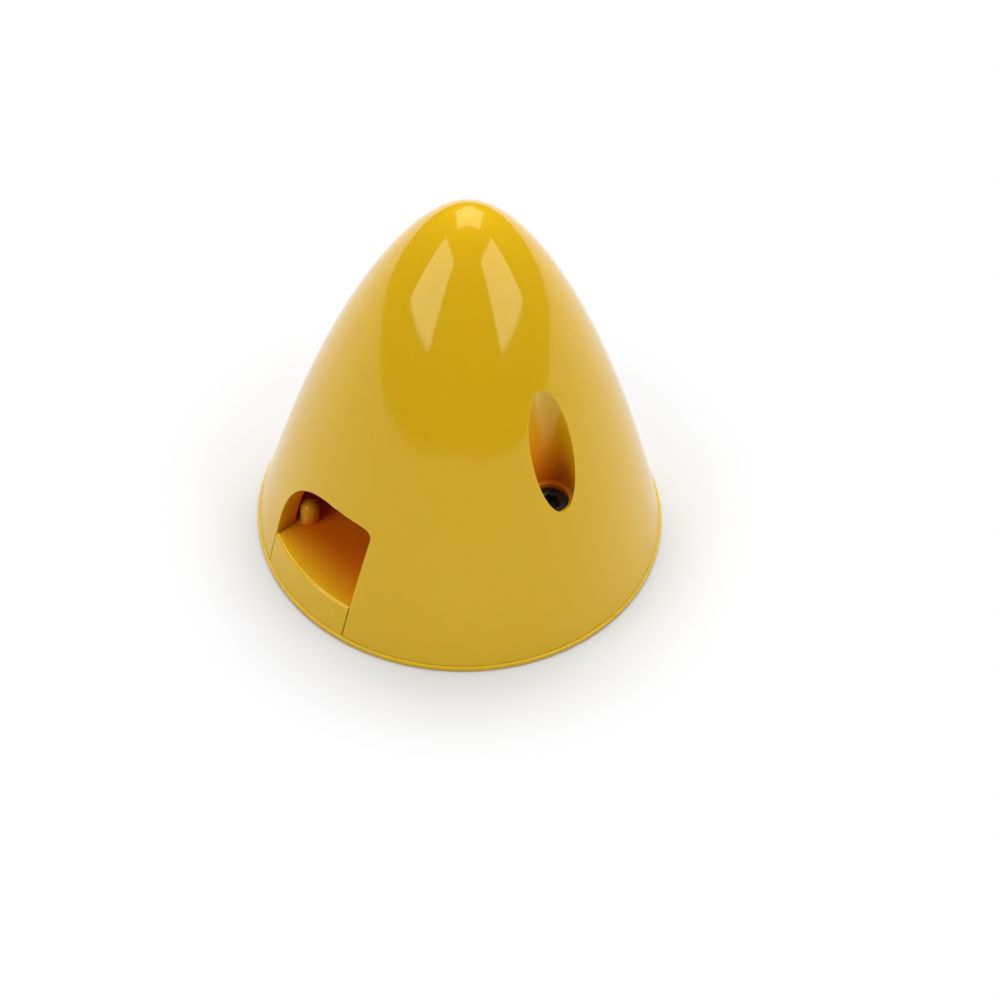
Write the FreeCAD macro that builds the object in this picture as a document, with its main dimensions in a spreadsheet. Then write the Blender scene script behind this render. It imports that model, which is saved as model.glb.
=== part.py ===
import FreeCAD, Part
import math
import os
import Sketcher

# Propeller spinner for a model aeroplane, 2-1/2 in across: a moulded cone with two blade cut-outs,
# screwed to a moulded backplate, with a ring that fits the plate's hole to the engine's shaft.
# Millimetres. The origin is the centre of the back face and +Z points to the nose. The blade
# cut-outs look along +X and -X, and the screw wells stand at +Y and -Y.

os.makedirs("parts", exist_ok=True)
doc = FreeCAD.newDocument("propeller_spinner")
Vector = FreeCAD.Vector
FULL_TURN = 360

# Driving dimensions

DIMENSIONS = (
    # the whole spinner
    ("spinner_diameter", "63.5"),
    ("spinner_height", "66.6"),
    # the cone's outside: a curve that leaves the rim along the flank and ends level at the nose
    ("flank_angle", "13.3"),
    ("flank_reach", "46.6"),
    ("nose_reach", "7"),
    ("gate_mark_diameter", "2.4"),
    ("gate_mark_depth", "0.25"),
    # the cone's wall, and the hollow: three tapers and a dome, each ending at a share of the hollow's
    # height and of its width at the rim
    ("wall", "3"),
    ("nose_wall", "4.6"),
    ("lower_height_share", "0.378"),
    ("lower_radius_share", "0.782"),
    ("middle_height_share", "0.722"),
    ("middle_radius_share", "0.498"),
    ("dome_height_share", "0.939"),
    ("dome_radius_share", "0.228"),
    # the blade cut-outs: one corner is swept, because the blade is pitched
    ("blade_gap_width", "19"),
    ("blade_gap_top", "20.9"),
    ("blade_sweep_radius", "11.5"),
    ("blade_corner_radius", "1.5"),
    # the screws, 6-32 by 3/4 in with a socket head
    ("screw_inset", "10.35"),
    ("screw_diameter", "3.505"),
    ("screw_length", "19.05"),
    ("head_diameter", "5.74"),
    ("head_height", "3.505"),
    ("head_edge", "0.35"),
    ("socket_width", "2.78"),
    ("socket_depth", "1.6"),
    ("tip_bevel", "0.6"),
    ("tip_cover", "0.25"),
    # the screw wells, and the sleeves round them
    ("well_diameter", "7.36"),
    ("head_bore_diameter", "5.9"),
    ("head_cover", "0.75"),
    ("screw_hole_clearance", "0.15"),
    ("sleeve_wall", "1.3"),
    ("sleeve_gap", "0.1"),
    ("sleeve_web", "3"),
    # the backplate
    ("flange_thickness", "0.9"),
    ("flange_step", "0.3"),
    ("floor_height", "6.35"),
    ("floor_thickness", "2.5"),
    ("propeller_seat_rise", "0.2"),
    ("plug_clearance", "0.15"),
    ("tongue_clearance", "0.12"),
    ("skirt_wall", "2.2"),
    ("hub_radius", "12.5"),
    ("pocket_count", "8"),
    ("rib_thickness", "1.8"),
    ("boss_wall", "2.2"),
    ("thread_clearance", "0.04"),
    ("post_diameter", "3"),
    ("post_height", "4"),
    ("post_inset", "0.6"),
    ("post_gap", "0.1"),
    # the shaft's bore and its ring
    ("ring_diameter", "9.525"),
    ("ring_height", "4.76"),
    ("ring_bore", "6.4"),
    ("ring_edge", "0.25"),
    ("ring_clearance", "0.03"),
    ("lip_bore", "8.4"),
)

# Sizes that follow from them, where one piece takes its place from another

FOLLOWING = (
    ("rim_radius", "=Sizes.spinner_diameter / 2 - Sizes.flange_step"),
    ("flank_pole_radius", "=rim_radius - Sizes.flank_reach * sin(Sizes.flank_angle)"),
    ("flank_pole_height", "=Sizes.flange_thickness + Sizes.flank_reach * cos(Sizes.flank_angle)"),
    ("hollow_radius", "=rim_radius - Sizes.wall / cos(Sizes.flank_angle)"),
    ("hollow_height", "=Sizes.spinner_height - Sizes.nose_wall"),
    ("hollow_rise", "=hollow_height - Sizes.flange_thickness"),
    ("lower_knee_radius", "=hollow_radius * Sizes.lower_radius_share"),
    ("lower_knee_height", "=Sizes.flange_thickness + hollow_rise * Sizes.lower_height_share"),
    ("lower_slope", "=(hollow_radius - lower_knee_radius) / (lower_knee_height - Sizes.flange_thickness)"),
    ("middle_knee_radius", "=hollow_radius * Sizes.middle_radius_share"),
    ("middle_knee_height", "=Sizes.flange_thickness + hollow_rise * Sizes.middle_height_share"),
    ("dome_foot_radius", "=hollow_radius * Sizes.dome_radius_share"),
    ("dome_foot_height", "=Sizes.flange_thickness + hollow_rise * Sizes.dome_height_share"),
    ("dome_rise", "=hollow_height - dome_foot_height"),
    ("dome_radius", "=(dome_foot_radius ^ 2 + dome_rise ^ 2) / (2 * dome_rise)"),
    ("dome_centre_height", "=hollow_height - dome_radius"),
    ("dome_foot_angle", "=asin((dome_foot_height - dome_centre_height) / dome_radius)"),
    ("half_gap", "=Sizes.blade_gap_width / 2"),
    ("corner_across", "=half_gap - Sizes.blade_corner_radius"),
    ("corner_up", "=Sizes.blade_gap_top - Sizes.blade_corner_radius"),
    ("sweep_across", "=Sizes.blade_sweep_radius - half_gap"),
    ("sweep_up", "=Sizes.blade_gap_top - Sizes.blade_sweep_radius"),
    ("screw_out", "=Sizes.spinner_diameter / 2 - Sizes.screw_inset"),
    ("screw_radius", "=Sizes.screw_diameter / 2"),
    ("head_radius", "=Sizes.head_diameter / 2"),
    ("seat_height", "=Sizes.tip_cover + Sizes.screw_length"),
    ("head_top", "=seat_height + Sizes.head_height"),
    ("ledge_height", "=head_top + Sizes.head_cover"),
    ("sleeve_radius", "=Sizes.well_diameter / 2 + Sizes.sleeve_wall"),
    ("sleeve_foot", "=Sizes.floor_height + Sizes.sleeve_gap"),
    ("plug_foot_radius", "=hollow_radius - Sizes.plug_clearance"),
    ("plug_rise", "=Sizes.floor_height - Sizes.flange_thickness"),
    ("plug_top_radius", "=plug_foot_radius - plug_rise * lower_slope"),
    ("propeller_seat_height", "=Sizes.floor_height + Sizes.propeller_seat_rise"),
    ("flange_radius", "=Sizes.spinner_diameter / 2"),
    ("pocket_depth", "=Sizes.floor_height - Sizes.floor_thickness"),
    ("pocket_radius", "=plug_top_radius - Sizes.skirt_wall"),
    ("half_tongue", "=half_gap - Sizes.tongue_clearance"),
    ("half_rib", "=Sizes.rib_thickness / 2"),
    ("tongue_pocket_radius", "=rim_radius - pocket_depth * tan(Sizes.flank_angle) - Sizes.skirt_wall"),
    ("half_tongue_pocket", "=half_tongue - Sizes.skirt_wall"),
    ("boss_radius", "=screw_radius + Sizes.boss_wall"),
    ("post_radius", "=Sizes.post_diameter / 2"),
    ("post_side", "=half_gap - Sizes.post_inset"),
    ("post_top", "=Sizes.floor_height + Sizes.post_height"),
    ("post_wall_radius", "=hollow_radius - (post_top - Sizes.flange_thickness) * lower_slope"),
    ("post_circle", "=post_wall_radius - Sizes.post_gap - post_radius"),
    ("post_out", "=sqrt(post_circle ^ 2 - post_side ^ 2)"),
    ("ring_radius", "=Sizes.ring_diameter / 2"),
    ("ring_bore_radius", "=Sizes.ring_bore / 2"),
    ("tip_radius", "=screw_radius - Sizes.tip_bevel"),
    ("tip_bevel_top", "=Sizes.tip_cover + Sizes.tip_bevel"),
    ("head_edge_radius", "=head_radius - Sizes.head_edge"),
    ("head_edge_height", "=head_top - Sizes.head_edge"),
    ("half_socket", "=Sizes.socket_width / 2"),
    ("socket_corner", "=Sizes.socket_width / sqrt(3)"),
    ("half_socket_corner", "=socket_corner / 2"),
)


def fill_sheet(name, rows):
    sheet = doc.addObject("Spreadsheet::Sheet", name)
    for row, (alias, content) in enumerate(rows, 1):
        sheet.set(f"A{row}", alias)
        sheet.set(f"B{row}", content)
        sheet.setAlias(f"B{row}", alias)
    doc.recompute()
    return sheet


sizes = fill_sheet("Sizes", DIMENSIONS)
following = fill_sheet("Following", FOLLOWING)
DRIVING_NAMES = [alias for alias, content in DIMENSIONS]


def cell(name):
    """The sheet's cell as an expression: "wall" is Sizes.wall, "-wall" its negative."""
    if name.startswith("-"):
        return "-" + cell(name[1:])
    return f"Sizes.{name}" if name in DRIVING_NAMES else f"Following.{name}"


def number(name):
    """The same cell's value, for where a sketch's geometry starts before it is solved."""
    if name.startswith("-"):
        return -number(name[1:])
    if name == "0":
        return 0.0
    return float(getattr(sizes if name in DRIVING_NAMES else following, name))


# Sketches: each vertex is pinned to the sketch's origin by two dimensions bound to the sheet

def new_body(label):
    body = doc.addObject("PartDesign::Body", label)
    body.Label = label
    return body


def new_sketch(body, label, plane, height=None):
    sketch = body.newObject("Sketcher::SketchObject", label)
    origin_plane = [item for item in body.Origin.OriginFeatures if item.Role == plane][0]
    sketch.AttachmentSupport = [(origin_plane, "")]
    sketch.MapMode = "FlatFace"
    if height:
        sketch.setExpression("AttachmentOffset.Base.z", cell(height))
    return sketch


def spot(corner):
    return Vector(number(corner[0]), number(corner[1]), 0)


def pin(sketch, geometry, point, corner):
    for kind, name, axis in (("DistanceX", corner[0], -2), ("DistanceY", corner[1], -1)):
        if name == "0":
            sketch.addConstraint(Sketcher.Constraint("PointOnObject", geometry, point, axis))
            continue
        limit = Sketcher.Constraint(kind, -1, 1, geometry, point, number(name))
        index = sketch.addConstraint(limit)
        sketch.setExpression(f"Constraints[{index}]", cell(name))


def bind(sketch, kind, geometry, name):
    index = sketch.addConstraint(Sketcher.Constraint(kind, geometry, number(name)))
    sketch.setExpression(f"Constraints[{index}]", cell(name))


def draw_lines(sketch, corners, closed=True):
    """Straight lines from corner to corner; returns the first and last line's numbers."""
    ends = corners[1:] + corners[:1] if closed else corners[1:]
    lines = []
    for start, end in zip(corners, ends):
        line = sketch.addGeometry(Part.LineSegment(spot(start), spot(end)), False)
        pin(sketch, line, 1, start)
        if lines:
            sketch.addConstraint(Sketcher.Constraint("Coincident", lines[-1], 2, line, 1))
        lines.append(line)
    if closed:
        sketch.addConstraint(Sketcher.Constraint("Coincident", lines[-1], 2, lines[0], 1))
    else:
        pin(sketch, lines[-1], 2, corners[-1])
    return lines[0], lines[-1]


def draw_curve(sketch, poles):
    """A cubic curve through the first and last pole, drawn towards the two between them."""
    curve = Part.BSplineCurve()
    curve.buildFromPolesMultsKnots([spot(pole) for pole in poles], [4, 4], [0, 1], False, 3)
    spline = sketch.addGeometry(curve, False)
    sketch.exposeInternalGeometry(spline)
    for offset, pole in enumerate(poles, 1):
        pin(sketch, spline + offset, 3, pole)
    return spline


def draw_corner(sketch, centre, radius, before, after, start_degrees, end_degrees):
    """An arc from the end of one line to the start of another, both given as (line, point)."""
    circle = Part.Circle(spot(centre), Vector(0, 0, 1), number(radius))
    turn = (math.radians(start_degrees), math.radians(end_degrees))
    arc = sketch.addGeometry(Part.ArcOfCircle(circle, *turn), False)
    sketch.addConstraint(Sketcher.Constraint("Coincident", arc, 1, *before))
    sketch.addConstraint(Sketcher.Constraint("Coincident", arc, 2, *after))
    bind(sketch, "Radius", arc, radius)


def revolve(body, sketch):
    turned = body.newObject("PartDesign::Revolution", f"{body.Label}_turned")
    turned.Profile = sketch
    turned.ReferenceAxis = (sketch, ["V_Axis"])
    turned.Angle = FULL_TURN
    return turned


def pad(body, sketch, length, label):
    raised = body.newObject("PartDesign::Pad", label)
    raised.Profile = sketch
    raised.setExpression("Length", cell(length))
    return raised


# Solids of the Part workbench, bound to the sheet

def cylinder(label, radius, height, place):
    """A round post; place maps x, y and z to expressions."""
    post = doc.addObject("Part::Cylinder", label)
    post.setExpression("Radius", radius)
    post.setExpression("Height", height)
    for axis, formula in place.items():
        post.setExpression(f"Placement.Base.{axis}", formula)
    return post


def block(label, length, width, height, place):
    brick = doc.addObject("Part::Box", label)
    brick.setExpression("Length", length)
    brick.setExpression("Width", width)
    brick.setExpression("Height", height)
    for axis, formula in place.items():
        brick.setExpression(f"Placement.Base.{axis}", formula)
    return brick


def fuse(label, pieces):
    joined = doc.addObject("Part::MultiFuse", label)
    joined.Shapes = pieces
    joined.Label = label
    return joined


def cut(label, base, tool):
    rest = doc.addObject("Part::Cut", label)
    rest.Base = base
    rest.Tool = tool
    rest.Label = label
    return rest


def common(label, first, second):
    shared = doc.addObject("Part::MultiCommon", label)
    shared.Shapes = [first, second]
    shared.Label = label
    return shared


# The outer form: the spinner's outside as one solid, which the cone and the tongues both take

outer_form = new_body("outer_form")
outer_section = new_sketch(outer_form, "outer_section", "XZ_Plane")
RIM = ("rim_radius", "flange_thickness")
NOSE = ("0", "spinner_height")
draw_curve(outer_section, (
    RIM, ("flank_pole_radius", "flank_pole_height"), ("nose_reach", "spinner_height"), NOSE))
draw_lines(outer_section, (NOSE, ("0", "flange_thickness"), RIM), closed=False)
revolve(outer_form, outer_section)

# The hollow form: the cone's inside, tapered like the tool that moulds it, with a round dome on top

hollow_form = new_body("hollow_form")
hollow_section = new_sketch(hollow_form, "hollow_section", "XZ_Plane")
hollow_ends = draw_lines(hollow_section, (
    ("0", "hollow_height"),
    ("0", "flange_thickness"),
    ("hollow_radius", "flange_thickness"),
    ("lower_knee_radius", "lower_knee_height"),
    ("middle_knee_radius", "middle_knee_height"),
    ("dome_foot_radius", "dome_foot_height"),
), closed=False)
draw_corner(
    hollow_section, ("0", "dome_centre_height"), "dome_radius",
    (hollow_ends[1], 2), (hollow_ends[0], 1), number("dome_foot_angle"), 90)
revolve(hollow_form, hollow_section)

# Both sides of the spinner carry the same features, half a turn apart

SIDES = (("front", ""), ("rear", "-"))
SCREW_OUT = cell("screw_out")

# The screws' sleeves: round columns that stand on the plate's floor and run up into the cone's wall,
# each with a short web to the wall at its foot

sleeves = []
for side, sign in SIDES:
    column = cylinder(
        f"{side}_sleeve", cell("sleeve_radius"), f"{cell('spinner_height')} - {cell('sleeve_foot')}",
        {"y": f"{sign}{SCREW_OUT}", "z": cell("sleeve_foot")})
    inner_end = SCREW_OUT if sign == "" else f"-{cell('rim_radius')}"
    web = block(
        f"{side}_web", cell("sleeve_web"), f"{cell('rim_radius')} - {SCREW_OUT}",
        f"{cell('ledge_height')} - {cell('sleeve_foot')}",
        {"x": f"-{cell('sleeve_web')} / 2", "y": inner_end, "z": cell("sleeve_foot")})
    sleeves += [column, web]
core = cut("core", hollow_form, fuse("sleeves_and_webs", sleeves))

# The blade cut-outs: upright sides, a small corner, and a swept corner where the pitched blade leans

blade_gaps = new_body("blade_gaps")
gap_sketch = new_sketch(blade_gaps, "blade_gap_outline", "YZ_Plane")
gap_sides = (("-half_gap", "sweep_up"), ("-half_gap", "0"), ("half_gap", "0"), ("half_gap", "corner_up"))
left_side, right_side = draw_lines(gap_sketch, gap_sides, closed=False)
top_ends = (("corner_across", "blade_gap_top"), ("sweep_across", "blade_gap_top"))
top_edge = draw_lines(gap_sketch, top_ends, closed=False)[0]
draw_corner(
    gap_sketch, ("corner_across", "corner_up"), "blade_corner_radius", (right_side, 2), (top_edge, 1), 0, 90)
draw_corner(
    gap_sketch, ("sweep_across", "sweep_up"), "blade_sweep_radius", (top_edge, 2), (left_side, 1), 90, 180)
one_gap = pad(blade_gaps, gap_sketch, "flange_radius", "one_gap")
both_gaps = blade_gaps.newObject("PartDesign::PolarPattern", "both_gaps")
both_gaps.Originals = [one_gap]
both_gaps.Axis = (gap_sketch, ["V_Axis"])
both_gaps.Angle = FULL_TURN
both_gaps.Occurrences = len(SIDES)
blade_gaps.Tip = both_gaps

# The wells: a wide mouth for the key, a bore for the head below a ledge, and the screw's hole

wells = []
for side, sign in SIDES:
    centre = f"{sign}{SCREW_OUT}"
    wells.append(cylinder(
        f"{side}_well", f"{cell('well_diameter')} / 2", f"{cell('spinner_height')} - {cell('ledge_height')}",
        {"y": centre, "z": cell("ledge_height")}))
    wells.append(cylinder(
        f"{side}_head_bore", f"{cell('head_bore_diameter')} / 2",
        f"{cell('ledge_height')} - {cell('seat_height')}", {"y": centre, "z": cell("seat_height")}))
    wells.append(cylinder(
        f"{side}_screw_hole", f"{cell('screw_radius')} + {cell('screw_hole_clearance')}",
        cell("seat_height"), {"y": centre}))
gate_mark = cylinder(
    "gate_mark", f"{cell('gate_mark_diameter')} / 2", cell("gate_mark_depth"),
    {"z": f"{cell('spinner_height')} - {cell('gate_mark_depth')}"})
nose_cone = cut("nose_cone", outer_form, fuse("cone_cuts", [core, blade_gaps, gate_mark] + wells))

# The backplate: a flange that the cone's rim stands on, a plug that fits the cone's skirt with a
# slightly raised seat for the propeller, and a tongue that fills the foot of each blade cut-out

plate_form = new_body("plate_form")
plate_sketch = new_sketch(plate_form, "plate_section", "XZ_Plane")
draw_lines(plate_sketch, (
    ("0", "0"),
    ("flange_radius", "0"),
    ("flange_radius", "flange_thickness"),
    ("plug_foot_radius", "flange_thickness"),
    ("plug_top_radius", "floor_height"),
    ("hub_radius", "floor_height"),
    ("hub_radius", "propeller_seat_height"),
    ("0", "propeller_seat_height"),
))
revolve(plate_form, plate_sketch)
tongue_slab = block(
    "tongue_slab", cell("spinner_diameter"), f"2 * {cell('half_tongue')}", cell("plug_rise"),
    {"x": f"-{cell('flange_radius')}", "y": f"-{cell('half_tongue')}", "z": cell("flange_thickness")})
tongues = common("tongues", outer_form, tongue_slab)

# Domed posts on the floor, one at each side of each blade cut-out, close inside the cone's wall

posts = []
for out in ("", "-"):
    for across in ("", "-"):
        place = {"x": f"{out}{cell('post_out')}", "y": f"{across}{cell('post_side')}"}
        shaft_height = f"{cell('post_height')} - {cell('post_radius')}"
        number_of_post = len(posts) // 2 + 1
        posts.append(cylinder(
            f"post_{number_of_post}", cell("post_radius"), shaft_height,
            {**place, "z": cell("floor_height")}))
        dome = doc.addObject("Part::Sphere", f"post_dome_{number_of_post}")
        dome.setExpression("Radius", cell("post_radius"))
        for axis, formula in place.items():
            dome.setExpression(f"Placement.Base.{axis}", formula)
        dome.setExpression("Placement.Base.z", f"{cell('floor_height')} + {shaft_height}")
        posts.append(dome)
plate_blank = fuse("plate_blank", [plate_form, tongues] + posts)

# Behind, the plate is cored out between the hub and the skirt and into the tongues, and keeps
# ribs like spokes and a boss round each screw

rib_form = new_body("rib_form")
rib_sketch = new_sketch(rib_form, "rib_outline", "XY_Plane")
draw_lines(rib_sketch, (
    ("0", "-half_rib"),
    ("flange_radius", "-half_rib"),
    ("flange_radius", "half_rib"),
    ("0", "half_rib"),
))
one_rib = pad(rib_form, rib_sketch, "pocket_depth", "one_rib")
all_ribs = rib_form.newObject("PartDesign::PolarPattern", "all_ribs")
all_ribs.Originals = [one_rib]
all_ribs.Axis = (rib_sketch, ["N_Axis"])
all_ribs.Angle = FULL_TURN
all_ribs.setExpression("Occurrences", cell("pocket_count"))
rib_form.Tip = all_ribs

kept_behind = [rib_form, cylinder("hub", cell("hub_radius"), cell("pocket_depth"), {})]
for side, sign in SIDES:
    kept_behind.append(cylinder(
        f"{side}_boss", cell("boss_radius"), cell("pocket_depth"), {"y": f"{sign}{SCREW_OUT}"}))
round_pocket = cylinder("round_pocket", cell("pocket_radius"), cell("pocket_depth"), {})
tongue_pocket = common(
    "tongue_pocket",
    cylinder("tongue_pocket_round", cell("tongue_pocket_radius"), cell("pocket_depth"), {}),
    block(
        "tongue_pocket_slab", cell("spinner_diameter"), f"2 * {cell('half_tongue_pocket')}",
        cell("pocket_depth"), {"x": f"-{cell('flange_radius')}", "y": f"-{cell('half_tongue_pocket')}"}))
back_pockets = cut(
    "back_pockets", fuse("pocket_outline", [round_pocket, tongue_pocket]), fuse("kept_behind", kept_behind))

# The shaft's bore is wide behind for the ring and ends in a lip at the floor

plate_cuts = [
    back_pockets,
    cylinder("ring_seat", f"{cell('ring_radius')} + {cell('ring_clearance')}", cell("ring_height"), {}),
    cylinder("lip_hole", f"{cell('lip_bore')} / 2", cell("propeller_seat_height"), {}),
]
for side, sign in SIDES:
    plate_cuts.append(cylinder(
        f"{side}_thread_hole", f"{cell('screw_radius')} + {cell('thread_clearance')}",
        cell("floor_height"), {"y": f"{sign}{SCREW_OUT}"}))
backplate = cut("backplate", plate_blank, fuse("plate_cuts", plate_cuts))

# The ring that fits the bore to the engine's shaft

adapter_ring = new_body("adapter_ring")
ring_sketch = new_sketch(adapter_ring, "ring_section", "XZ_Plane")
draw_lines(ring_sketch, (
    ("ring_bore_radius", "0"),
    ("ring_radius", "0"),
    ("ring_radius", "ring_height"),
    ("ring_bore_radius", "ring_height"),
))
ring_blank = revolve(adapter_ring, ring_sketch)
doc.recompute()
ring_edges = adapter_ring.newObject("PartDesign::Chamfer", "ring_edges")
round_edges = [
    f"Edge{index}" for index, edge in enumerate(ring_blank.Shape.Edges, 1)
    if edge.Curve.TypeId == "Part::GeomCircle"
]
ring_edges.Base = (ring_blank, round_edges)
ring_edges.setExpression("Size", cell("ring_edge"))

# The screws: a bevelled tip, a plain shank in place of its fine thread, and a head with a hex socket


def make_screw(label, sign):
    screw = new_body(label)
    section = new_sketch(screw, f"{label}_section", "XZ_Plane")
    draw_lines(section, (
        ("0", "tip_cover"),
        ("tip_radius", "tip_cover"),
        ("screw_radius", "tip_bevel_top"),
        ("screw_radius", "seat_height"),
        ("head_radius", "seat_height"),
        ("head_radius", "head_edge_height"),
        ("head_edge_radius", "head_top"),
        ("0", "head_top"),
    ))
    revolve(screw, section)
    socket_sketch = new_sketch(screw, f"{label}_socket", "XY_Plane", height="head_top")
    draw_lines(socket_sketch, (
        ("socket_corner", "0"),
        ("half_socket_corner", "half_socket"),
        ("-half_socket_corner", "half_socket"),
        ("-socket_corner", "0"),
        ("-half_socket_corner", "-half_socket"),
        ("half_socket_corner", "-half_socket"),
    ))
    socket = screw.newObject("PartDesign::Pocket", f"{label}_hex")
    socket.Profile = socket_sketch
    socket.setExpression("Length", cell("socket_depth"))
    screw.setExpression("Placement.Base.y", f"{sign}{SCREW_OUT}")
    return screw


screws = [make_screw(f"cone_screw_{count}", sign) for count, (side, sign) in enumerate(SIDES, 1)]
doc.recompute()

# Every object has to be sound before anything is written

for item in doc.Objects:
    if "Invalid" in item.State or "Error" in item.State:
        raise RuntimeError(f"{item.Label} did not build: {item.State}")
for cutter, whole in ((nose_cone, outer_form), (backplate, plate_blank), (core, hollow_form)):
    if cutter.Shape.Volume >= whole.Shape.Volume:
        raise RuntimeError(f"{cutter.Label} was not cut")
for sub_part in [nose_cone, backplate, adapter_ring] + screws:
    shape = sub_part.Shape
    if shape.isNull() or not shape.isValid() or len(shape.Solids) != 1:
        raise RuntimeError(f"{sub_part.Label} is not one sound solid")
    shape.exportStep(f"parts/{sub_part.Label}.step")
    print(sub_part.Label, round(shape.Volume, 1), shape.BoundBox)
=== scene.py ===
from bisect import bisect_left
from math import asin, cos, pi, radians, sin, sqrt

import bmesh
import bpy
from mathutils import Matrix, Vector
from mathutils.geometry import interpolate_bezier


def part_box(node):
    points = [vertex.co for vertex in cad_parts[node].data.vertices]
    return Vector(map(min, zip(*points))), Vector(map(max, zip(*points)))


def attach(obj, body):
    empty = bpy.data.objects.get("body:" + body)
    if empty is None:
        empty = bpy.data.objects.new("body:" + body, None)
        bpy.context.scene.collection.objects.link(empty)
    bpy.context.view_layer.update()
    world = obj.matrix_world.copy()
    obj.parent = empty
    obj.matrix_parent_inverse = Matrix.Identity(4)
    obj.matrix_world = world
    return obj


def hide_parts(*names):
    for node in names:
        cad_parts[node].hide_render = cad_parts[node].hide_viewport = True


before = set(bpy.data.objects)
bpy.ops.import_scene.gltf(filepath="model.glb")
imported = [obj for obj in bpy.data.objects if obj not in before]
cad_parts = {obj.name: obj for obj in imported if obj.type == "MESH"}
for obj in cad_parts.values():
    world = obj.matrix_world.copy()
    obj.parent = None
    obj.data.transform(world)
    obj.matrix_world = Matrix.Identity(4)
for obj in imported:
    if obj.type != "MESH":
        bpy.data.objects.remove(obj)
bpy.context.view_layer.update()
mm = 0.001

# The backplate: one moulding in glossy yellow plastic. Its flange carries the cone's rim, its two
# tongues fill the foot of the blade cut-outs, and its four posts stand by the cut-outs' sides.
# The mould left every outside edge slightly round.

flange_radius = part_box("backplate")[1].x
flange_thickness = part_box("nose_cone")[0].z
rim_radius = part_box("nose_cone")[1].y
spinner_height = 66.6 * mm
flank_angle = radians(13.3)
flank_reach = 46.6 * mm
nose_reach = 7 * mm
blade_gap_width = 19 * mm
tongue_width = blade_gap_width - 0.24 * mm
tongue_height = 6.35 * mm
flange_edge = 0.2 * mm
tongue_top_edge = 0.45 * mm
tongue_side_edge = 0.15 * mm
sharp_angle = radians(28)
skin_tolerance = 0.02 * mm
merge_distance = 0.0001 * mm
skin_points = 4000
seam_turn = radians(0.7)
tool_overrun = 1 * mm
# Painted orange glow and shade in the plate's recesses: the depth under the skin where it is full, and
# the posts' share of it.
plate_painted_glow_depth = 5 * mm
post_painted_glow_share = 0.3
yellow_color = (0.585, 0.352, 0.006, 1)
yellow_pale_color = (0.605, 0.372, 0.009, 1)
# The painted orange glow and shade of a recess, standing in for light that comes through the walls.
painted_cavity_glow_color = (0.84, 0.185, 0.001, 1)

rim = Vector((rim_radius, 0, flange_thickness))
flank_pole = rim + flank_reach * Vector((-sin(flank_angle), 0, cos(flank_angle)))
nose = Vector((0, 0, spinner_height))
nose_pole = nose + Vector((nose_reach, 0, 0))


def skin_curve(points):
    """The spinner's outside from the rim to the nose: one cubic curve in the XZ plane."""
    return interpolate_bezier(rim, flank_pole, nose_pole, nose, points)


skin_line = skin_curve(skin_points)
skin_heights = [point.z for point in skin_line]


def skin_at(height):
    """The spinner's outside at a height: its radius, and the way it faces as (outwards, up)."""
    upper = min(max(bisect_left(skin_heights, height), 1), len(skin_heights) - 1)
    below = skin_line[upper - 1]
    above = skin_line[upper]
    along = above - below
    radius = below.x + along.x * (height - below.z) / along.z
    return radius, Vector((along.z, -along.x)).normalized()


def tool_section(corner, along_skin, along_wall, reach, margin=0.3 * mm, steps=5):
    """The section of a tool that rounds a corner, from the skin that meets there to the wall."""
    start = corner + reach * along_skin
    end = corner + reach * along_wall
    clear_of_face = 0.003 * mm
    section = [start - clear_of_face * along_wall]
    for step in range(1, steps):
        part = step / steps
        section.append(start.lerp(corner, part).lerp(corner.lerp(end, part), part))
    section.append(end - clear_of_face * along_skin)
    section.append(end - margin * along_skin)
    section.append(corner - margin * (along_skin + along_wall))
    section.append(start - margin * along_wall)
    return section


def draw_loop(shape, corners):
    """A closed line of edges through the corners."""
    verts = [shape.verts.new(corner) for corner in corners]
    return [shape.edges.new(ends) for ends in zip(verts, verts[1:] + verts[:1])]


def as_object(name, shape):
    """Turn a finished bmesh into an object of the scene."""
    mesh = bpy.data.meshes.new(name)
    shape.to_mesh(mesh)
    shape.free()
    made = bpy.data.objects.new(name, mesh)
    bpy.context.scene.collection.objects.link(made)
    return made


def edge_tool(edge, reach, closed=False):
    """A tool that rounds an edge; edge lists its points, each with the ways along skin and wall."""
    shape = bmesh.new()
    rings = [draw_loop(shape, tool_section(*place, reach)) for place in edge]
    following = rings[1:] + rings[:1] if closed else rings[1:]
    for ring, next_ring in zip(rings, following):
        bmesh.ops.bridge_loops(shape, edges=ring + next_ring)
    if not closed:
        for ring in (rings[0], rings[-1]):
            bmesh.ops.contextual_create(shape, geom=ring)
    bmesh.ops.recalc_face_normals(shape, faces=shape.faces)
    return as_object("edge_tool", shape)


def turned(name, profile, closed, segments=192):
    """A skin turned about the shaft's axis from points at the +X side."""
    shape = bmesh.new()
    verts = [shape.verts.new(point) for point in profile]
    following = verts[1:] + verts[:1] if closed else verts[1:]
    edges = [shape.edges.new(ends) for ends in zip(verts, following)]
    bmesh.ops.spin(
        shape, geom=verts + edges, cent=(0, 0, 0), axis=(0, 0, 1), angle=2 * pi,
        steps=segments, use_merge=True)
    bmesh.ops.remove_doubles(shape, verts=shape.verts, dist=merge_distance)
    bmesh.ops.recalc_face_normals(shape, faces=shape.faces)
    return as_object(name, shape)


def round_edge_tool(radius, height, along_skin, along_wall, reach):
    """The same tool for an edge that runs round the shaft's axis, turned off the mesh's own seam."""
    section = tool_section(Vector((radius, 0, height)), along_skin, along_wall, reach)
    tool = turned("edge_tool", section, closed=True)
    tool.data.transform(Matrix.Rotation(seam_turn, 4, "Z"))
    return tool


def keep_result(piece):
    """Put the result of a piece's modifiers in place of its mesh."""
    result = bpy.data.meshes.new_from_object(piece.evaluated_get(bpy.context.evaluated_depsgraph_get()))
    piece.modifiers.clear()
    result.name = piece.name
    piece.data = result


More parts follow.
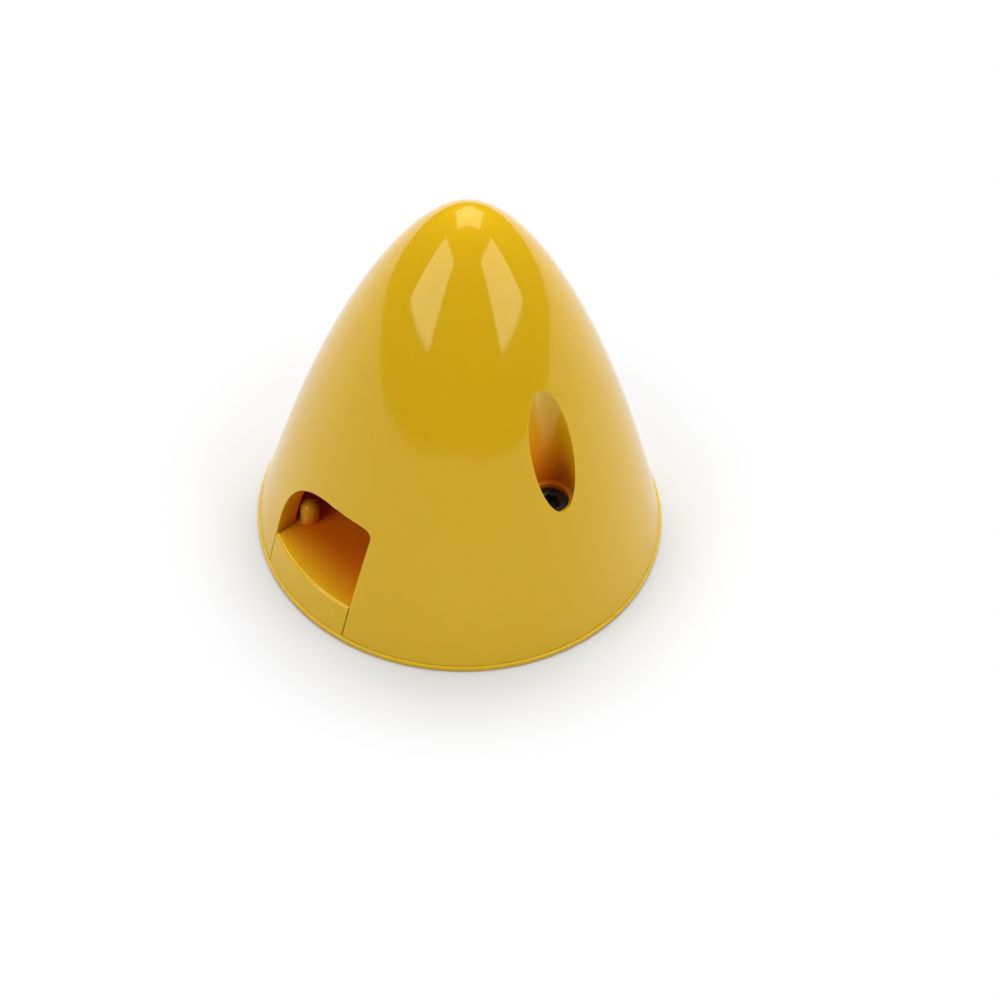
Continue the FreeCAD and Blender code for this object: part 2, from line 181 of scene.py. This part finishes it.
def apply_tools(piece, tools, operation="DIFFERENCE"):
    """Cut a piece with all its tools at once, or join them to it, and throw the tools away."""
    rack = bpy.data.collections.new("tools")
    for tool in tools:
        rack.objects.link(tool)
    bpy.context.scene.collection.children.link(rack)
    work = piece.modifiers.new("tools", "BOOLEAN")
    work.operation = operation
    work.operand_type = "COLLECTION"
    work.collection = rack
    work.solver = "EXACT"
    keep_result(piece)
    for tool in tools:
        bpy.data.objects.remove(tool)
    bpy.data.collections.remove(rack)


def copy_of_node(name, node):
    """A merged copy of a CAD node's mesh, to be finished as a piece of its own."""
    shape = bmesh.new()
    shape.from_mesh(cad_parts[node].data)
    bmesh.ops.remove_doubles(shape, verts=shape.verts, dist=merge_distance)
    return as_object(name, shape)


def smooth_shading(piece):
    """Smooth shading between sharp edges, with flat faces left flat up to their rounded edges."""
    mesh = piece.data
    mesh.polygons.foreach_set("use_smooth", [True] * len(mesh.polygons))
    mesh.set_sharp_from_angle(angle=sharp_angle)
    flat = piece.modifiers.new("flat_faces", "WEIGHTED_NORMAL")
    flat.keep_sharp = True
    flat.weight = 100
    keep_result(piece)


def true_skin_shading(piece):
    """The true curve's own facing on the outside skin, where the mesh only comes close to it."""
    mesh = piece.data
    facing = []
    for vertex in mesh.vertices:
        radius = vertex.co.xy.length
        skin_radius, way = skin_at(vertex.co.z)
        off_skin = abs(radius - skin_radius) * way.x
        above_foot = vertex.co.z > flange_thickness - skin_tolerance
        if above_foot and off_skin < skin_tolerance < radius:
            outwards = way.x * vertex.co.xy / radius
            facing.append(Vector((outwards.x, outwards.y, way.y)))
        else:
            facing.append(None)
    normals = [corner.vector.copy() for corner in mesh.corner_normals]
    for face in mesh.polygons:
        skin_facing = [facing[index] for index in face.vertices]
        if None in skin_facing or max(way.angle(face.normal) for way in skin_facing) > sharp_angle:
            continue
        for loop, way in zip(face.loop_indices, skin_facing):
            normals[loop] = way
    mesh.normals_split_custom_set(normals)


def paint_cavity_glow(piece, painted_glow_at):
    """Give each vertex its share of the painted orange glow and shade, which stands in for light through
    the walls in a recess.
    """
    glow = piece.data.attributes.new("painted_cavity_glow", "FLOAT", "POINT")
    for vertex in piece.data.vertices:
        glow.data[vertex.index].value = min(max(painted_glow_at(vertex.co), 0), 1)


def depth_under_skin(place):
    """How far a place lies inside the spinner's outside, square to it."""
    radius, way = skin_at(place.z)
    return (radius - place.xy.length) * way.x


def new_material(name):
    """A new material, with its nodes, its links and its main shader."""
    material = bpy.data.materials.new(name)
    material.use_nodes = True
    nodes = material.node_tree.nodes
    return material, nodes, material.node_tree.links, nodes["Principled BSDF"]


def yellow_plastic():
    """Glossy moulded yellow plastic, a little translucent, with an orange glow and shade painted into
    its recesses.
    """
    material, nodes, links, shader = new_material("yellow_plastic")
    shader.inputs["IOR"].default_value = 1.46
    shader.inputs["Specular Tint"].default_value = (1, 0.97, 0.62, 1)
    shader.inputs["Subsurface Weight"].default_value = 0.4
    shader.inputs["Subsurface Radius"].default_value = (1, 0.4, 0.1)
    shader.inputs["Subsurface Scale"].default_value = 2 * mm
    place = nodes.new("ShaderNodeTexCoord")
    drift = nodes.new("ShaderNodeTexNoise")
    drift.inputs["Scale"].default_value = 45
    drift.inputs["Detail"].default_value = 2
    links.new(place.outputs["Object"], drift.inputs["Vector"])
    tint = nodes.new("ShaderNodeMix")
    tint.data_type = "RGBA"
    tint.inputs["A"].default_value = yellow_color
    tint.inputs["B"].default_value = yellow_pale_color
    links.new(drift.outputs["Fac"], tint.inputs["Factor"])
    # The painted orange glow and shade of the recesses, by each vertex's painted share; the same share
    # also dulls the gloss there.
    depth = nodes.new("ShaderNodeAttribute")
    depth.attribute_name = "painted_cavity_glow"
    painted_glow_mix = nodes.new("ShaderNodeMix")
    painted_glow_mix.data_type = "RGBA"
    painted_glow_mix.inputs["B"].default_value = painted_cavity_glow_color
    links.new(depth.outputs["Fac"], painted_glow_mix.inputs["Factor"])
    links.new(tint.outputs["Result"], painted_glow_mix.inputs["A"])
    links.new(painted_glow_mix.outputs["Result"], shader.inputs["Base Color"])
    polish = nodes.new("ShaderNodeMapRange")
    polish.inputs["To Min"].default_value = 0.07
    polish.inputs["To Max"].default_value = 0.11
    links.new(drift.outputs["Fac"], polish.inputs["Value"])
    dulling = nodes.new("ShaderNodeMix")
    dulling.inputs["B"].default_value = 0.5
    links.new(depth.outputs["Fac"], dulling.inputs["Factor"])
    links.new(polish.outputs["Result"], dulling.inputs["A"])
    links.new(dulling.outputs["Result"], shader.inputs["Roughness"])
    grain = nodes.new("ShaderNodeTexNoise")
    grain.inputs["Scale"].default_value = 260
    grain.inputs["Detail"].default_value = 3
    links.new(place.outputs["Object"], grain.inputs["Vector"])
    relief = nodes.new("ShaderNodeBump")
    relief.inputs["Strength"].default_value = 0.05
    relief.inputs["Distance"].default_value = 0.02 * mm
    links.new(grain.outputs["Fac"], relief.inputs["Height"])
    links.new(relief.outputs["Normal"], shader.inputs["Normal"])
    return material


yellow = yellow_plastic()
top_edge_steps = 32
side_edge_steps = 12


def tongue_top_edges():
    """The tools for both tongues' outside edges along the top."""
    tools = []
    radius, way = skin_at(tongue_height)
    for side in (1, -1):
        inwards = Vector((-side, 0, 0))
        top_edge = []
        for step in range(top_edge_steps + 1):
            across = (step / top_edge_steps - 0.5) * (tongue_width + tool_overrun)
            out = sqrt(radius ** 2 - across ** 2)
            corner = Vector((side * out, across, tongue_height))
            down_skin = Vector((side * way.y, 0, -way.x))
            top_edge.append((corner, down_skin, inwards))
        tools.append(edge_tool(top_edge, tongue_top_edge))
    return tools


def tongue_side_edges():
    """The tools for the tongues' outside edges up both sides."""
    above_tongue = tongue_height + 0.3 * mm
    tools = []
    for side in (1, -1):
        inwards = Vector((-side, 0, 0))
        for across in (tongue_width / 2, -tongue_width / 2):
            side_edge = []
            for step in range(side_edge_steps + 1):
                height = flange_thickness + step / side_edge_steps * (above_tongue - flange_thickness)
                radius, way = skin_at(height)
                out = sqrt(radius ** 2 - across ** 2)
                to_middle = Vector((side * abs(across), -out if across > 0 else out, 0)).normalized()
                side_edge.append((Vector((side * out, across, height)), to_middle, inwards))
            tools.append(edge_tool(side_edge, tongue_side_edge))
    return tools


def flange_edges():
    """The tools for the flange's upper and lower outside edges."""
    inwards = Vector((-1, 0, 0))
    up = Vector((0, 0, 1))
    return [
        round_edge_tool(flange_radius, flange_thickness, inwards, -up, flange_edge),
        round_edge_tool(flange_radius, 0, inwards, up, flange_edge),
    ]


def floor_painted_glow(place):
    """Painted orange glow and shade on the floor inside the cone, less on its posts towards their tops;
    none on the back.
    """
    below_floor = place.z < tongue_height - 0.1 * mm
    if below_floor:
        return 0
    on_floor = place.z < tongue_height + 0.3 * mm
    share = 1 if on_floor else post_painted_glow_share
    return share * depth_under_skin(place) / plate_painted_glow_depth


backplate = copy_of_node("backplate_moulding", "backplate")
apply_tools(backplate, tongue_top_edges() + flange_edges())
apply_tools(backplate, tongue_side_edges())
smooth_shading(backplate)
true_skin_shading(backplate)
# The floor's painted orange glow and shade.
paint_cavity_glow(backplate, floor_painted_glow)
backplate.data.materials.clear()
backplate.data.materials.append(yellow)
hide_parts("backplate")
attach(backplate, "root")

# The nose cone: one moulding in the same plastic, with its blade cut-outs, screw wells and the
# small mark that the mould's gate left on the nose. Its rim stands on the plate's flange.

well_out = 21.4 * mm
well_radius = 3.68 * mm
gap_top = 20.9 * mm
sweep_radius = 11.5 * mm
corner_radius = 1.5 * mm
lip_edge = 0.25 * mm
rim_edge = 0.15 * mm
wall = 3 * mm
nose_wall = 4.6 * mm
# The hollow's corners, from its dome down, as shares of its width at the rim and of its height.
hollow_knees = ((0.228, 0.939), (0.498, 0.722), (0.782, 0.378), (1, 0))
sleeve_radius = well_radius + 1.3 * mm
sleeve_foot = 6.45 * mm
web_width = 3 * mm
screw_hole_radius = 1.9 * mm
head_bore_radius = 2.95 * mm
screw_seat = 19.3 * mm
ledge_height = 23.555 * mm
ledge_edge = 0.15 * mm
gate_radius = 1.2 * mm
gate_height = 66.35 * mm
gate_slope = 0.05 * mm
above_nose = spinner_height + tool_overrun
cone_segments = 256
cone_points = 97
sleeve_points = 49
dome_steps = 16
well_segments = 96
gate_segments = 64
sweep_steps = 32
corner_steps = 8
long_side_steps = 16
short_side_steps = 8
# Painted orange glow and shade in the cone: the depths under the skin where it is full in the hollow and
# in the wells.
wall_painted_glow_depth = 3 * mm
well_painted_glow_depth = 9 * mm
well_margin = 0.05 * mm


def arc_places(centre_across, centre_up, radius, start, end, steps):
    """Places on a cut-out's arc, each with the way out of the opening, all as (across, up)."""
    for step in range(steps + 1):
        turn = radians(start + (end - start) * step / steps)
        way = Vector((cos(turn), sin(turn)))
        yield Vector((centre_across, centre_up)) + radius * way, way


def gap_outline():
    """A blade cut-out's outline from foot to foot, with the way out of the opening at each place."""
    half = blade_gap_width / 2
    foot = flange_thickness - 0.4 * mm
    places = []
    sweep_up = gap_top - sweep_radius
    corner_up = gap_top - corner_radius
    for step in range(short_side_steps):
        up = foot + step / short_side_steps * (sweep_up - foot)
        places.append((Vector((-half, up)), Vector((-1, 0))))
    places += arc_places(sweep_radius - half, sweep_up, sweep_radius, 180, 90, sweep_steps)
    places += arc_places(half - corner_radius, corner_up, corner_radius, 90, 0, corner_steps)
    for step in range(1, long_side_steps + 1):
        up = corner_up + step / long_side_steps * (foot - corner_up)
        places.append((Vector((half, up)), Vector((1, 0))))
    return places


def gap_tool(turn):
    """The bar that cuts a blade opening from the shaft outwards."""
    shape = bmesh.new()
    outline = draw_loop(shape, [(0, place.x, place.y) for place, way in gap_outline()])
    face = bmesh.ops.contextual_create(shape, geom=outline)["faces"][0]
    far_end = bmesh.ops.extrude_face_region(shape, geom=[face])["geom"]
    far_verts = [part for part in far_end if isinstance(part, bmesh.types.BMVert)]
    bmesh.ops.translate(shape, verts=far_verts, vec=(flange_radius + tool_overrun, 0, 0))
    bmesh.ops.recalc_face_normals(shape, faces=shape.faces)
    bmesh.ops.transform(shape, verts=shape.verts, matrix=turn.to_4x4())
    return as_object("gap_tool", shape)


def gap_edge(turn):
    """The edge of a blade cut-out where it meets the outside, turned to its side of the cone."""
    edge = []
    for place, way in gap_outline():
        radius, facing = skin_at(place.y)
        out = sqrt(radius ** 2 - place.x ** 2)
        narrowing = -facing.y / facing.x
        out_change = (radius * narrowing * way.y - place.x * way.x) / out
        along_skin = Vector((out_change, way.x, way.y)).normalized()
        corner = Vector((out, place.x, place.y))
        edge.append((turn @ corner, turn @ along_skin, turn @ Vector((-1, 0, 0))))
    return edge


def height_at(radius):
    """The outside's height over a distance from the axis, and its slope there."""
    low = 0
    high = len(skin_line) - 1
    while high - low > 1:
        middle = (low + high) // 2
        if skin_line[middle].x > radius:
            low = middle
        else:
            high = middle
    along = skin_line[high] - skin_line[low]
    slope = along.z / along.x
    return skin_line[low].z + slope * (radius - skin_line[low].x), slope


def well_edge(side):
    """The mouth of a screw well, where its upright wall meets the slanting outside."""
    edge = []
    for step in range(well_segments):
        turn = 2 * pi * step / well_segments
        way = Vector((cos(turn), sin(turn)))
        place = Vector((0, side * well_out)) + well_radius * way
        height, slope = height_at(place.length)
        rise = slope * way.dot(place) / place.length
        along_skin = Vector((way.x, way.y, rise)).normalized()
        edge.append((Vector((place.x, place.y, height)), along_skin, Vector((0, 0, -1))))
    return edge


def cone_painted_glow(place):
    """Painted orange glow and shade all over the hollow, and in the wells more and more towards their
    bottom.
    """
    out_of_well = min((place.xy - Vector((0, side * well_out))).length for side in (1, -1))
    in_well = out_of_well < well_radius + well_margin
    return depth_under_skin(place) / (well_painted_glow_depth if in_well else wall_painted_glow_depth)


def hollow_line():
    """The hollow's outline from the dome's top down three tapers to the rim."""
    height = spinner_height - nose_wall
    width = rim_radius - wall / cos(flank_angle)
    rise = height - flange_thickness
    knees = [Vector((width * out, 0, flange_thickness + rise * up)) for out, up in hollow_knees]
    dome_rise = height - knees[0].z
    dome_radius = (knees[0].x ** 2 + dome_rise ** 2) / (2 * dome_rise)
    dome_turn = asin(knees[0].x / dome_radius)
    dome = []
    for step in range(dome_steps):
        turn = dome_turn * step / dome_steps
        dome.append(Vector((dome_radius * sin(turn), 0, height - dome_radius * (1 - cos(turn)))))
    return dome + knees


def cone_shell():
    """The bare shell: its section runs down the hollow, under the rim and up the outside."""
    profile = hollow_line() + skin_curve(cone_points)
    return turned("cone_moulding", profile, closed=False, segments=cone_segments)


def sleeve_space():
    """Where sleeves may stand: above the plate's floor and inside the middle of the wall."""
    profile = [Vector((0, 0, sleeve_foot)), Vector((skin_at(sleeve_foot)[0] - wall / 2, 0, sleeve_foot))]
    for point in skin_curve(sleeve_points):
        if point.x < sleeve_radius or point.z < sleeve_foot + wall:
            continue
        radius, way = skin_at(point.z)
        profile.append(Vector((radius - wall / 2 * way.x, 0, point.z - wall / 2 * way.y)))
    profile.append(Vector((0, 0, profile[-1].z)))
    return turned("sleeve_space", profile, closed=False)


def sleeve(side):
    """The column round a screw."""
    shape = bmesh.new()
    bmesh.ops.create_cone(
        shape, cap_ends=True, segments=well_segments, radius1=sleeve_radius, radius2=sleeve_radius,
        depth=spinner_height, matrix=Matrix.Translation((0, side * well_out, spinner_height / 2)))
    return as_object("sleeve", shape)


def sleeve_web(side):
    """The short web from a sleeve to the wall, up to the well's ledge."""
    shape = bmesh.new()
    middle = (well_out + rim_radius) / 2
    place = Matrix.Translation((0, side * middle, ledge_height / 2))
    size = Matrix.Diagonal((web_width, rim_radius - well_out, ledge_height, 1))
    bmesh.ops.create_cube(shape, size=1, matrix=place @ size)
    return as_object("sleeve_web", shape)


def well_tool(side):
    """The stepped core of a well: the key's mouth, the head's bore below a ledge, the screw's hole."""
    profile = (
        (0, 0), (screw_hole_radius, 0), (screw_hole_radius, screw_seat), (head_bore_radius, screw_seat),
        (head_bore_radius, ledge_height - ledge_edge), (head_bore_radius + ledge_edge, ledge_height),
        (well_radius, ledge_height), (well_radius, spinner_height), (0, spinner_height),
    )
    section = [Vector((out, 0, up)) for out, up in profile]
    tool = turned("well_tool", section, closed=False, segments=well_segments)
    tool.data.transform(Matrix.Translation((0, side * well_out, 0)))
    return tool


def gate_mark_tool():
    """The flat that is left where the gate was trimmed off, with a sloping side."""
    profile = (
        (0, gate_height), (gate_radius - gate_slope, gate_height),
        (gate_radius + gate_slope, gate_height + 2 * gate_slope),
        (gate_radius + gate_slope, above_nose), (0, above_nose),
    )
    section = [Vector((out, 0, up)) for out, up in profile]
    return turned("gate_mark_tool", section, closed=False, segments=gate_segments)


cone = cone_shell()
sleeves = sleeve(1)
apply_tools(sleeves, [sleeve(-1), sleeve_web(1), sleeve_web(-1)], "UNION")
apply_tools(sleeves, [sleeve_space()], "INTERSECT")
apply_tools(cone, [sleeves], "UNION")
both_ways = (Matrix.Identity(3), Matrix.Rotation(pi, 3, "Z"))
openings = [gap_tool(turn) for turn in both_ways] + [well_tool(side) for side in (1, -1)]
apply_tools(cone, openings + [gate_mark_tool()])
cone_tools = [edge_tool(gap_edge(turn), lip_edge) for turn in both_ways]
cone_tools += [edge_tool(well_edge(side), lip_edge, closed=True) for side in (1, -1)]
rim_facing = skin_at(flange_thickness)[1]
up_skin = Vector((-rim_facing.y, 0, rim_facing.x))
cone_tools.append(round_edge_tool(rim_radius, flange_thickness, up_skin, Vector((-1, 0, 0)), rim_edge))
apply_tools(cone, cone_tools)
smooth_shading(cone)
true_skin_shading(cone)
# The hollow's and wells' painted orange glow and shade.
paint_cavity_glow(cone, cone_painted_glow)
cone.data.materials.clear()
cone.data.materials.append(yellow)
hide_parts("nose_cone")
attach(cone, "root")

# The adapter ring: a short bush in black plastic, which fits the plate's bore to the engine's shaft.
# It is moulded with bevelled ends and pressed into the back of the plate's hub.

ring_low, ring_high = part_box("adapter_ring")
ring_radius = ring_high.x
ring_bore_radius = 3.2 * mm
ring_bevel = 0.25 * mm


def bevelled_section(inner, outer, low, high, bevel):
    """The corners of an upright wall's section with all four edges bevelled."""
    return [
        Vector((inner + bevel, 0, low)),
        Vector((outer - bevel, 0, low)),
        Vector((outer, 0, low + bevel)),
        Vector((outer, 0, high - bevel)),
        Vector((outer - bevel, 0, high)),
        Vector((inner + bevel, 0, high)),
        Vector((inner, 0, high - bevel)),
        Vector((inner, 0, low + bevel)),
    ]


def satin_black_plastic():
    """Moulded black plastic with a satin face."""
    material, nodes, links, shader = new_material("black_plastic")
    shader.inputs["Base Color"].default_value = (0.016, 0.016, 0.017, 1)
    place = nodes.new("ShaderNodeTexCoord")
    grain = nodes.new("ShaderNodeTexNoise")
    grain.inputs["Scale"].default_value = 900
    links.new(place.outputs["Object"], grain.inputs["Vector"])
    satin = nodes.new("ShaderNodeMapRange")
    satin.inputs["To Min"].default_value = 0.34
    satin.inputs["To Max"].default_value = 0.48
    links.new(grain.outputs["Fac"], satin.inputs["Value"])
    links.new(satin.outputs["Result"], shader.inputs["Roughness"])
    return material


ring_section = bevelled_section(ring_bore_radius, ring_radius, ring_low.z, ring_high.z, ring_bevel)
ring = turned("shaft_ring", ring_section, closed=True, segments=96)
smooth_shading(ring)
ring.data.materials.append(satin_black_plastic())
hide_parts("adapter_ring")
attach(ring, "root")

# The two cone screws: socket head cap screws in steel with a dull black oxide skin, with a rolled
# thread up to the head. They stand in the wells, hold the cone and end in the plate's bosses.

screw_low, screw_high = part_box("cone_screw_1")
thread_pitch = 25.4 * mm / 32
thread_radius = 3.505 * mm / 2
thread_root_radius = 1.266 * mm
crest_width = thread_pitch / 8
flank_width = 0.281 * mm
tip_bevel = 0.6 * mm
head_radius = screw_high.x
head_height = 3.505 * mm
head_edge = 0.35 * mm
socket_width = 2.78 * mm
socket_depth = 1.6 * mm
socket_mouth = 0.12 * mm
rod_in_head = 0.4 * mm
blank_in_head = 0.3 * mm
blank_clearance = 0.01 * mm
turn_steps = 32
head_edge_steps = 6


def threaded_rod(low, high):
    """A rod with a helical thread, flat at both ends; one pitch of it is spun up the rod."""
    turns = int((high - low) / thread_pitch) + 3
    foot = low - thread_pitch
    heights = (0, crest_width, crest_width + flank_width, thread_pitch - flank_width, thread_pitch)
    radii = (thread_radius, thread_radius, thread_root_radius, thread_root_radius, thread_radius)
    shape = bmesh.new()
    verts = [shape.verts.new((radius, 0, foot + height)) for radius, height in zip(radii, heights)]
    edges = [shape.edges.new(ends) for ends in zip(verts, verts[1:])]
    bmesh.ops.spin(
        shape, geom=verts + edges, cent=(0, 0, 0), axis=(0, 0, 1), angle=2 * pi * turns,
        steps=turn_steps * turns, dvec=(0, 0, thread_pitch / turn_steps))
    bmesh.ops.remove_doubles(shape, verts=shape.verts, dist=0.001 * mm)
    for height, way in ((low, -1), (high, 1)):
        bmesh.ops.bisect_plane(
            shape, geom=shape.verts[:] + shape.edges[:] + shape.faces[:], dist=merge_distance,
            plane_co=(0, 0, height), plane_no=(0, 0, way), clear_outer=True)
    bmesh.ops.holes_fill(shape, edges=[edge for edge in shape.edges if edge.is_boundary], sides=0)
    bmesh.ops.recalc_face_normals(shape, faces=shape.faces)
    return as_object("threaded_rod", shape)


def screw_blank(low, high, radius):
    """A round bar with the screw's bevelled tip, which gives the thread its ends."""
    profile = [(0, low), (radius - tip_bevel, low), (radius, low + tip_bevel), (radius, high), (0, high)]
    return turned("blank", [Vector((out, 0, up)) for out, up in profile], closed=False, segments=64)


def screw_head(seat, top):
    """The round head, with a softened rim and a bevel round the hexagon's mouth."""
    under = 0.1 * mm
    mouth = socket_width / sqrt(3) + socket_mouth
    profile = [(0, seat), (head_radius - under, seat), (head_radius, seat + under)]
    for step in range(head_edge_steps + 1):
        turn = pi / 2 * step / head_edge_steps
        profile.append((
            head_radius - head_edge * (1 - cos(turn)),
            top - head_edge * (1 - sin(turn)),
        ))
    bevel_end = top - 2 * socket_mouth
    profile += [(mouth, top), (mouth - 2 * socket_mouth, bevel_end), (0, bevel_end)]
    return turned("head", [Vector((out, 0, up)) for out, up in profile], closed=False, segments=96)


def hexagon_tool(top):
    """The hexagon that the key fits, sunk into the head."""
    shape = bmesh.new()
    bmesh.ops.create_cone(
        shape, cap_ends=True, segments=6, radius1=socket_width / sqrt(3), radius2=socket_width / sqrt(3),
        depth=2 * socket_depth, matrix=Matrix.Translation((0, 0, top)) @ Matrix.Rotation(pi / 2, 4, "Z"))
    return as_object("hexagon", shape)


def black_oxide_steel():
    """Steel with a thin black oxide skin, a little uneven in its dullness."""
    material, nodes, links, shader = new_material("black_oxide_steel")
    shader.inputs["Base Color"].default_value = (0.03, 0.03, 0.032, 1)
    shader.inputs["Metallic"].default_value = 0.5
    place = nodes.new("ShaderNodeTexCoord")
    bloom = nodes.new("ShaderNodeTexNoise")
    bloom.inputs["Scale"].default_value = 1400
    bloom.inputs["Detail"].default_value = 4
    links.new(place.outputs["Object"], bloom.inputs["Vector"])
    dullness = nodes.new("ShaderNodeMapRange")
    dullness.inputs["To Min"].default_value = 0.28
    dullness.inputs["To Max"].default_value = 0.5
    links.new(bloom.outputs["Fac"], dullness.inputs["Value"])
    links.new(dullness.outputs["Result"], shader.inputs["Roughness"])
    return material


seat_height = screw_high.z - head_height
screw_pattern = threaded_rod(screw_low.z, seat_height + rod_in_head)
blank = screw_blank(screw_low.z, seat_height + blank_in_head, thread_radius + blank_clearance)
apply_tools(screw_pattern, [blank], "INTERSECT")
apply_tools(screw_pattern, [screw_head(seat_height, screw_high.z)], "UNION")
apply_tools(screw_pattern, [hexagon_tool(screw_high.z)])
smooth_shading(screw_pattern)
screw_pattern.data.materials.clear()
screw_pattern.data.materials.append(black_oxide_steel())
for count, side in ((1, 1), (2, -1)):
    screw = bpy.data.objects.new(f"cap_screw_{count}", screw_pattern.data.copy())
    screw.data.transform(Matrix.Translation((0, side * well_out, 0)))
    bpy.context.scene.collection.objects.link(screw)
    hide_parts(f"cone_screw_{count}")
    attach(screw, "root")
bpy.data.objects.remove(screw_pattern)

# The studio: a square sheet of white paper with a corner towards the camera, two softboxes beside
# the camera and a wide one overhead. The room round them is dark, which the gloss of the plastic
# shows above the paper's edge.

camera_azimuth = radians(-39.5)
paper_corner = 0.45
paper_gap = 0.05 * mm
paper_color = (0.595, 0.60, 0.61, 1)
white_from = 0.033
white_at = 0.052
light_distance = 0.90
room_radius = 2
room_color = (0.03, 0.03, 0.03, 1)
world_color = (0.05, 0.05, 0.05, 1)
aim = Vector((0, 0, 0.058))


def softbox(name, azimuth, elevation, width, height, radiance):
    """A rectangular lamp that faces the nose, with azimuth counted from the camera's side."""
    lamp = bpy.data.lights.new(name, "AREA")
    lamp.shape = "RECTANGLE"
    lamp.size = width
    lamp.size_y = height
    lamp.energy = radiance * pi * width * height
    turn = camera_azimuth + radians(azimuth)
    rise = radians(elevation)
    away = Vector((sin(turn) * cos(rise), -cos(turn) * cos(rise), sin(rise)))
    holder = bpy.data.objects.new(name, lamp)
    holder.matrix_world = (
        Matrix.Translation(aim + light_distance * away)
        @ Matrix.Rotation(turn, 4, "Z")
        @ Matrix.Rotation(pi / 2 - rise, 4, "X")
    )
    holder.visible_camera = False
    bpy.context.scene.collection.objects.link(holder)


def white_paper():
    """Matte paper with the spinner's shadow on it, which turns plain white further out."""
    material, nodes, links, shader = new_material("white_paper")
    shader.inputs["Base Color"].default_value = paper_color
    shader.inputs["Roughness"].default_value = 0.9
    shader.inputs["Specular IOR Level"].default_value = 0.1
    place = nodes.new("ShaderNodeTexCoord")
    distance = nodes.new("ShaderNodeVectorMath")
    distance.operation = "LENGTH"
    links.new(place.outputs["Object"], distance.inputs[0])
    fade = nodes.new("ShaderNodeMapRange")
    fade.interpolation_type = "SMOOTHSTEP"
    fade.inputs["From Min"].default_value = white_from
    fade.inputs["From Max"].default_value = white_at
    links.new(distance.outputs["Value"], fade.inputs["Value"])
    path = nodes.new("ShaderNodeLightPath")
    seen = nodes.new("ShaderNodeMath")
    seen.operation = "MULTIPLY"
    links.new(path.outputs["Is Camera Ray"], seen.inputs[0])
    links.new(fade.outputs["Result"], seen.inputs[1])
    glow = nodes.new("ShaderNodeEmission")
    mix = nodes.new("ShaderNodeMixShader")
    links.new(seen.outputs["Value"], mix.inputs["Fac"])
    links.new(shader.outputs["BSDF"], mix.inputs[1])
    links.new(glow.outputs["Emission"], mix.inputs[2])
    links.new(mix.outputs["Shader"], nodes["Material Output"].inputs["Surface"])
    return material


softbox("left_softbox", azimuth=-56, elevation=23.5, width=0.69, height=0.54, radiance=3.8)
softbox("right_softbox", azimuth=59, elevation=24, width=0.72, height=0.55, radiance=3.8)
softbox("top_softbox", azimuth=180, elevation=65, width=1.30, height=1.30, radiance=3.6)

paper_shape = bmesh.new()
bmesh.ops.create_grid(
    paper_shape, x_segments=1, y_segments=1, size=paper_corner / sqrt(2),
    matrix=Matrix.Translation((0, 0, -paper_gap)) @ Matrix.Rotation(camera_azimuth + pi / 4, 4, "Z"))
paper = as_object("paper", paper_shape)
paper.data.materials.append(white_paper())

room_shape = bmesh.new()
bmesh.ops.create_uvsphere(room_shape, u_segments=32, v_segments=16, radius=room_radius)
room = as_object("dark_room", room_shape)
room.visible_camera = False
room.visible_diffuse = False
room.visible_transmission = False
room.visible_shadow = False
dark_walls, _, _, shader = new_material("dark_walls")
shader.inputs["Base Color"].default_value = room_color
room.data.materials.append(dark_walls)

world = bpy.data.worlds.new("room")
world.use_nodes = True
bpy.context.scene.world = world
nodes = world.node_tree.nodes
links = world.node_tree.links
nodes.clear()
path = nodes.new("ShaderNodeLightPath")
seen_directly = nodes.new("ShaderNodeMath")
seen_directly.operation = "MAXIMUM"
links.new(path.outputs["Is Camera Ray"], seen_directly.inputs[0])
links.new(path.outputs["Is Glossy Ray"], seen_directly.inputs[1])
seen_through = nodes.new("ShaderNodeMath")
seen_through.operation = "MAXIMUM"
links.new(seen_directly.outputs["Value"], seen_through.inputs[0])
links.new(path.outputs["Is Transmission Ray"], seen_through.inputs[1])
dark = nodes.new("ShaderNodeBackground")
dark.inputs["Color"].default_value = world_color
pale = nodes.new("ShaderNodeBackground")
pale.inputs["Color"].default_value = (1, 1, 1, 1)
mix = nodes.new("ShaderNodeMixShader")
links.new(seen_through.outputs["Value"], mix.inputs["Fac"])
links.new(dark.outputs["Background"], mix.inputs[1])
links.new(pale.outputs["Background"], mix.inputs[2])
output = nodes.new("ShaderNodeOutputWorld")
links.new(mix.outputs["Shader"], output.inputs["Surface"])

# The camera looks down on a cut-out and a well through a long lens, tipped a little to one side.
# Its place comes from the spinner's own outline in the picture.

camera_elevation = radians(48.29)
camera_roll = radians(2.45)
camera_place = Vector((-0.24766, -0.31019, 0.4500))
sensor_width = 36.0
lens_to_sensor = 3.80922

camera_data = bpy.data.cameras.new("camera")
camera_data.sensor_width = sensor_width
camera_data.lens = lens_to_sensor * sensor_width
camera_data.shift_y = -0.003
camera_data.clip_start = 0.01
camera = bpy.data.objects.new("camera", camera_data)
camera.matrix_world = (
    Matrix.Translation(camera_place)
    @ Matrix.Rotation(camera_azimuth, 4, "Z")
    @ Matrix.Rotation(pi / 2 - camera_elevation, 4, "X")
    @ Matrix.Rotation(camera_roll, 4, "Z")
)
bpy.context.scene.collection.objects.link(camera)
bpy.context.scene.camera = camera
bpy.context.scene.view_settings.view_transform = "Standard"
